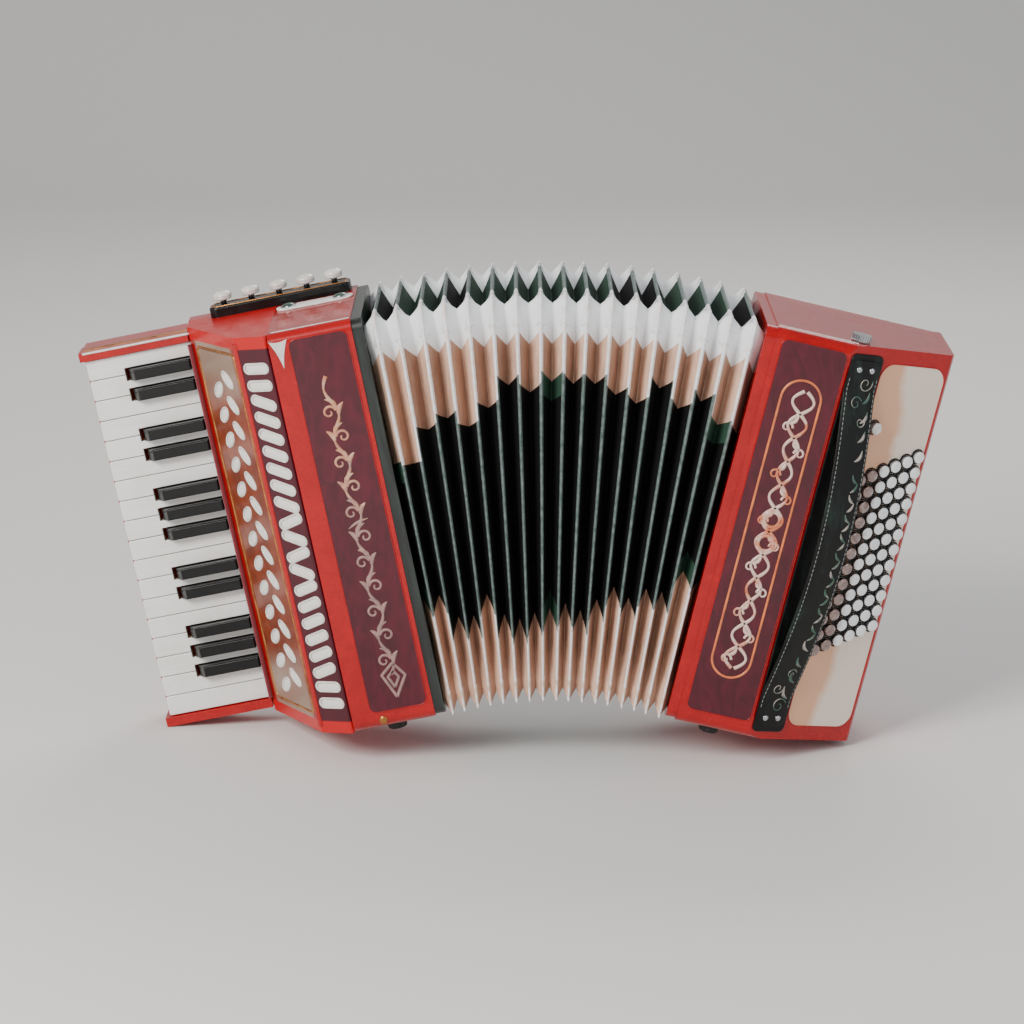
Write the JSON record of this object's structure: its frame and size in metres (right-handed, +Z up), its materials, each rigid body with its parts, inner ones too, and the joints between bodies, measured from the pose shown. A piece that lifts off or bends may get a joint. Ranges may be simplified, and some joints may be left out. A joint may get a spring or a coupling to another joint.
{
  "type": "piano accordion",
  "caption": "Piano accordion standing with its bellows fanned open: keyboard casing, pleated bellows that fans and closes, bass casing with a button board and hand strap.",
  "frame": {"origin": "on the floor under the middle of the standing part", "axes": "+Z up, -Y towards the front, which faces the listener; the keyboard is at -X and the bass end at +X"},
  "size_m": [0.8482, 0.2217, 0.4679],
  "materials": {
    "wine_celluloid": "polished pearl celluloid",
    "red_celluloid": "polished celluloid",
    "grille_gold": "bronze enamel",
    "cloth": "woven",
    "ivory_keys": "polished",
    "black_keys": "polished",
    "cream_board": "satin",
    "button_white": "polished",
    "bellows_board": "cloth over pressed board",
    "gilt": "gilt",
    "frame_wood": "black lacquer",
    "reed_wood": "plain",
    "strap_leather": "black",
    "white_leather": "white",
    "chrome": "polished",
    "steel": "brushed",
    "foot_rubber": "matt"
  },
  "bodies": {
    "treble": {"treble_case": "red_celluloid", "treble_soundboard": "reed_wood", "treble_reed_blocks": "reed_wood", "grille": "grille_gold", "grille_cloth": "cloth", "keyboard_bed": "red_celluloid", "key_axle": "steel", "register_rail": "black_keys", "strap_brackets": "chrome", "bellows_strap": "white_leather", "treble_bellows_frame": "frame_wood", "treble_feet": "foot_rubber", "bellows_folds": "bellows_board"},
    "bass": {"bass_case": "red_celluloid", "bass_bellows_frame": "frame_wood", "bass_feet": "foot_rubber", "button_board": "cream_board", "bass_strap": "strap_leather", "bass_reed_block": "reed_wood", "bass_lever_rack": "steel"},
    "white_key_01": {"white_key_01": "ivory_keys"},
    "white_key_02": {"white_key_02": "ivory_keys"},
    "white_key_03": {"white_key_03": "ivory_keys"},
    "white_key_04": {"white_key_04": "ivory_keys"},
    "white_key_05": {"white_key_05": "ivory_keys"},
    "white_key_06": {"white_key_06": "ivory_keys"},
    "white_key_07": {"white_key_07": "ivory_keys"},
    "white_key_08": {"white_key_08": "ivory_keys"},
    "white_key_09": {"white_key_09": "ivory_keys"},
    "white_key_10": {"white_key_10": "ivory_keys"},
    "white_key_11": {"white_key_11": "ivory_keys"},
    "white_key_12": {"white_key_12": "ivory_keys"},
    "white_key_13": {"white_key_13": "ivory_keys"},
    "white_key_14": {"white_key_14": "ivory_keys"},
    "white_key_15": {"white_key_15": "ivory_keys"},
    "white_key_16": {"white_key_16": "ivory_keys"},
    "white_key_17": {"white_key_17": "ivory_keys"},
    "white_key_18": {"white_key_18": "ivory_keys"},
    "black_key_01": {"black_key_01": "black_keys"},
    "black_key_02": {"black_key_02": "black_keys"},
    "black_key_03": {"black_key_03": "black_keys"},
    "black_key_04": {"black_key_04": "black_keys"},
    "black_key_05": {"black_key_05": "black_keys"},
    "black_key_06": {"black_key_06": "black_keys"},
    "black_key_07": {"black_key_07": "black_keys"},
    "black_key_08": {"black_key_08": "black_keys"},
    "black_key_09": {"black_key_09": "black_keys"},
    "black_key_10": {"black_key_10": "black_keys"},
    "black_key_11": {"black_key_11": "black_keys"},
    "black_key_12": {"black_key_12": "black_keys"},
    "register_knob_1": {"register_knob_1": "button_white"},
    "register_knob_2": {"register_knob_2": "button_white"},
    "register_knob_3": {"register_knob_3": "button_white"},
    "register_knob_4": {"register_knob_4": "button_white"},
    "register_knob_5": {"register_knob_5": "button_white"},
    "bass_note_buttons": {"bass_note_buttons": "button_white"},
    "major_minor_buttons": {"major_minor_buttons": "button_white"},
    "seventh_buttons": {"seventh_buttons": "button_white"},
    "air_button": {"air_button": "button_white"},
    "strap_wheel": {"strap_wheel": "chrome"}
  },
  "joints": [
    {"name": "bellows_fan", "type": "hinge", "parent": "treble", "child": "bass", "pos_m": [0.03847, 0, -0.17249], "axis": [0, 1, 0], "range_deg": [-24.7, 14], "deforming": ["bellows_folds"]},
    {"name": "air_button_press", "type": "slide", "parent": "bass", "child": "air_button", "axis": [-0.5011, 0.8572, 0.1188], "range_m": [0, 0.005], "stiffness_N_per_m": 150, "springref_m": -0.004},
    {"name": "bass_note_press", "type": "slide", "parent": "bass", "child": "bass_note_buttons", "axis": [-0.5011, 0.8572, 0.1188], "range_m": [0, 0.0035], "stiffness_N_per_m": 400, "springref_m": -0.003},
    {"name": "chord_press_major_minor", "type": "slide", "parent": "bass", "child": "major_minor_buttons", "axis": [-0.5011, 0.8572, 0.1188], "range_m": [0, 0.0035], "stiffness_N_per_m": 400, "springref_m": -0.003},
    {"name": "chord_press_seventh", "type": "slide", "parent": "bass", "child": "seventh_buttons", "axis": [-0.5011, 0.8572, 0.1188], "range_m": [0, 0.0035], "stiffness_N_per_m": 400, "springref_m": -0.003},
    {"name": "strap_wheel_turn", "type": "hinge", "parent": "bass", "child": "strap_wheel", "pos_m": [0.32922, -0.06573, 0.41837], "axis": [0.2307, 0, 0.973], "continuous": true},
    {"name": "register_1_press", "type": "slide", "parent": "treble", "child": "register_knob_1", "axis": [0.197, 0, -0.9804], "range_m": [0, 0.004], "stiffness_N_per_m": 200, "springref_m": -0.002},
    {"name": "register_2_press", "type": "slide", "parent": "treble", "child": "register_knob_2", "axis": [0.197, 0, -0.9804], "range_m": [0, 0.004], "stiffness_N_per_m": 200, "springref_m": -0.002},
    {"name": "register_3_press", "type": "slide", "parent": "treble", "child": "register_knob_3", "axis": [0.197, 0, -0.9804], "range_m": [0, 0.004], "stiffness_N_per_m": 200, "springref_m": -0.002},
    {"name": "register_4_press", "type": "slide", "parent": "treble", "child": "register_knob_4", "axis": [0.197, 0, -0.9804], "range_m": [0, 0.004], "stiffness_N_per_m": 200, "springref_m": -0.002},
    {"name": "register_5_press", "type": "slide", "parent": "treble", "child": "register_knob_5", "axis": [0.197, 0, -0.9804], "range_m": [0, 0.004], "stiffness_N_per_m": 200, "springref_m": -0.002},
    {"name": "white_key_press_01", "type": "hinge", "parent": "treble", "child": "white_key_01", "pos_m": [-0.25767, 0.054, 0.21885], "axis": [0.197, 0, -0.9804], "range_deg": [0, 2.2], "stiffness_Nm_per_rad": 0.6, "springref_deg": -5.73},
    {"name": "white_key_press_02", "type": "hinge", "parent": "treble", "child": "white_key_02", "pos_m": [-0.25767, 0.054, 0.21885], "axis": [0.197, 0, -0.9804], "range_deg": [0, 2.2], "stiffness_Nm_per_rad": 0.6, "springref_deg": -5.73},
    {"name": "white_key_press_03", "type": "hinge", "parent": "treble", "child": "white_key_03", "pos_m": [-0.25767, 0.054, 0.21885], "axis": [0.197, 0, -0.9804], "range_deg": [0, 2.2], "stiffness_Nm_per_rad": 0.6, "springref_deg": -5.73},
    {"name": "white_key_press_04", "type": "hinge", "parent": "treble", "child": "white_key_04", "pos_m": [-0.25767, 0.054, 0.21885], "axis": [0.197, 0, -0.9804], "range_deg": [0, 2.2], "stiffness_Nm_per_rad": 0.6, "springref_deg": -5.73},
    {"name": "white_key_press_05", "type": "hinge", "parent": "treble", "child": "white_key_05", "pos_m": [-0.25767, 0.054, 0.21885], "axis": [0.197, 0, -0.9804], "range_deg": [0, 2.2], "stiffness_Nm_per_rad": 0.6, "springref_deg": -5.73},
    {"name": "white_key_press_06", "type": "hinge", "parent": "treble", "child": "white_key_06", "pos_m": [-0.25767, 0.054, 0.21885], "axis": [0.197, 0, -0.9804], "range_deg": [0, 2.2], "stiffness_Nm_per_rad": 0.6, "springref_deg": -5.73},
    {"name": "white_key_press_07", "type": "hinge", "parent": "treble", "child": "white_key_07", "pos_m": [-0.25767, 0.054, 0.21885], "axis": [0.197, 0, -0.9804], "range_deg": [0, 2.2], "stiffness_Nm_per_rad": 0.6, "springref_deg": -5.73},
    {"name": "white_key_press_08", "type": "hinge", "parent": "treble", "child": "white_key_08", "pos_m": [-0.25767, 0.054, 0.21885], "axis": [0.197, 0, -0.9804], "range_deg": [0, 2.2], "stiffness_Nm_per_rad": 0.6, "springref_deg": -5.73},
    {"name": "white_key_press_09", "type": "hinge", "parent": "treble", "child": "white_key_09", "pos_m": [-0.25767, 0.054, 0.21885], "axis": [0.197, 0, -0.9804], "range_deg": [0, 2.2], "stiffness_Nm_per_rad": 0.6, "springref_deg": -5.73},
    {"name": "white_key_press_10", "type": "hinge", "parent": "treble", "child": "white_key_10", "pos_m": [-0.25767, 0.054, 0.21885], "axis": [0.197, 0, -0.9804], "range_deg": [0, 2.2], "stiffness_Nm_per_rad": 0.6, "springref_deg": -5.73},
    {"name": "white_key_press_11", "type": "hinge", "parent": "treble", "child": "white_key_11", "pos_m": [-0.25767, 0.054, 0.21885], "axis": [0.197, 0, -0.9804], "range_deg": [0, 2.2], "stiffness_Nm_per_rad": 0.6, "springref_deg": -5.73},
    {"name": "white_key_press_12", "type": "hinge", "parent": "treble", "child": "white_key_12", "pos_m": [-0.25767, 0.054, 0.21885], "axis": [0.197, 0, -0.9804], "range_deg": [0, 2.2], "stiffness_Nm_per_rad": 0.6, "springref_deg": -5.73},
    {"name": "white_key_press_13", "type": "hinge", "parent": "treble", "child": "white_key_13", "pos_m": [-0.25767, 0.054, 0.21885], "axis": [0.197, 0, -0.9804], "range_deg": [0, 2.2], "stiffness_Nm_per_rad": 0.6, "springref_deg": -5.73},
    {"name": "white_key_press_14", "type": "hinge", "parent": "treble", "child": "white_key_14", "pos_m": [-0.25767, 0.054, 0.21885], "axis": [0.197, 0, -0.9804], "range_deg": [0, 2.2], "stiffness_Nm_per_rad": 0.6, "springref_deg": -5.73},
    {"name": "white_key_press_15", "type": "hinge", "parent": "treble", "child": "white_key_15", "pos_m": [-0.25767, 0.054, 0.21885], "axis": [0.197, 0, -0.9804], "range_deg": [0, 2.2], "stiffness_Nm_per_rad": 0.6, "springref_deg": -5.73},
    {"name": "white_key_press_16", "type": "hinge", "parent": "treble", "child": "white_key_16", "pos_m": [-0.25767, 0.054, 0.21885], "axis": [0.197, 0, -0.9804], "range_deg": [0, 2.2], "stiffness_Nm_per_rad": 0.6, "springref_deg": -5.73},
    {"name": "white_key_press_17", "type": "hinge", "parent": "treble", "child": "white_key_17", "pos_m": [-0.25767, 0.054, 0.21885], "axis": [0.197, 0, -0.9804], "range_deg": [0, 2.2], "stiffness_Nm_per_rad": 0.6, "springref_deg": -5.73},
    {"name": "white_key_press_18", "type": "hinge", "parent": "treble", "child": "white_key_18", "pos_m": [-0.25767, 0.054, 0.21885], "axis": [0.197, 0, -0.9804], "range_deg": [0, 2.2], "stiffness_Nm_per_rad": 0.6, "springref_deg": -5.73},
    {"name": "black_key_press_01", "type": "hinge", "parent": "treble", "child": "black_key_01", "pos_m": [-0.25767, 0.054, 0.21885], "axis": [0.197, 0, -0.9804], "range_deg": [0, 2.2], "stiffness_Nm_per_rad": 0.6, "springref_deg": -5.73},
    {"name": "black_key_press_02", "type": "hinge", "parent": "treble", "child": "black_key_02", "pos_m": [-0.25767, 0.054, 0.21885], "axis": [0.197, 0, -0.9804], "range_deg": [0, 2.2], "stiffness_Nm_per_rad": 0.6, "springref_deg": -5.73},
    {"name": "black_key_press_03", "type": "hinge", "parent": "treble", "child": "black_key_03", "pos_m": [-0.25767, 0.054, 0.21885], "axis": [0.197, 0, -0.9804], "range_deg": [0, 2.2], "stiffness_Nm_per_rad": 0.6, "springref_deg": -5.73},
    {"name": "black_key_press_04", "type": "hinge", "parent": "treble", "child": "black_key_04", "pos_m": [-0.25767, 0.054, 0.21885], "axis": [0.197, 0, -0.9804], "range_deg": [0, 2.2], "stiffness_Nm_per_rad": 0.6, "springref_deg": -5.73},
    {"name": "black_key_press_05", "type": "hinge", "parent": "treble", "child": "black_key_05", "pos_m": [-0.25767, 0.054, 0.21885], "axis": [0.197, 0, -0.9804], "range_deg": [0, 2.2], "stiffness_Nm_per_rad": 0.6, "springref_deg": -5.73},
    {"name": "black_key_press_06", "type": "hinge", "parent": "treble", "child": "black_key_06", "pos_m": [-0.25767, 0.054, 0.21885], "axis": [0.197, 0, -0.9804], "range_deg": [0, 2.2], "stiffness_Nm_per_rad": 0.6, "springref_deg": -5.73},
    {"name": "black_key_press_07", "type": "hinge", "parent": "treble", "child": "black_key_07", "pos_m": [-0.25767, 0.054, 0.21885], "axis": [0.197, 0, -0.9804], "range_deg": [0, 2.2], "stiffness_Nm_per_rad": 0.6, "springref_deg": -5.73},
    {"name": "black_key_press_08", "type": "hinge", "parent": "treble", "child": "black_key_08", "pos_m": [-0.25767, 0.054, 0.21885], "axis": [0.197, 0, -0.9804], "range_deg": [0, 2.2], "stiffness_Nm_per_rad": 0.6, "springref_deg": -5.73},
    {"name": "black_key_press_09", "type": "hinge", "parent": "treble", "child": "black_key_09", "pos_m": [-0.25767, 0.054, 0.21885], "axis": [0.197, 0, -0.9804], "range_deg": [0, 2.2], "stiffness_Nm_per_rad": 0.6, "springref_deg": -5.73},
    {"name": "black_key_press_10", "type": "hinge", "parent": "treble", "child": "black_key_10", "pos_m": [-0.25767, 0.054, 0.21885], "axis": [0.197, 0, -0.9804], "range_deg": [0, 2.2], "stiffness_Nm_per_rad": 0.6, "springref_deg": -5.73},
    {"name": "black_key_press_11", "type": "hinge", "parent": "treble", "child": "black_key_11", "pos_m": [-0.25767, 0.054, 0.21885], "axis": [0.197, 0, -0.9804], "range_deg": [0, 2.2], "stiffness_Nm_per_rad": 0.6, "springref_deg": -5.73},
    {"name": "black_key_press_12", "type": "hinge", "parent": "treble", "child": "black_key_12", "pos_m": [-0.25767, 0.054, 0.21885], "axis": [0.197, 0, -0.9804], "range_deg": [0, 2.2], "stiffness_Nm_per_rad": 0.6, "springref_deg": -5.73}
  ]
}
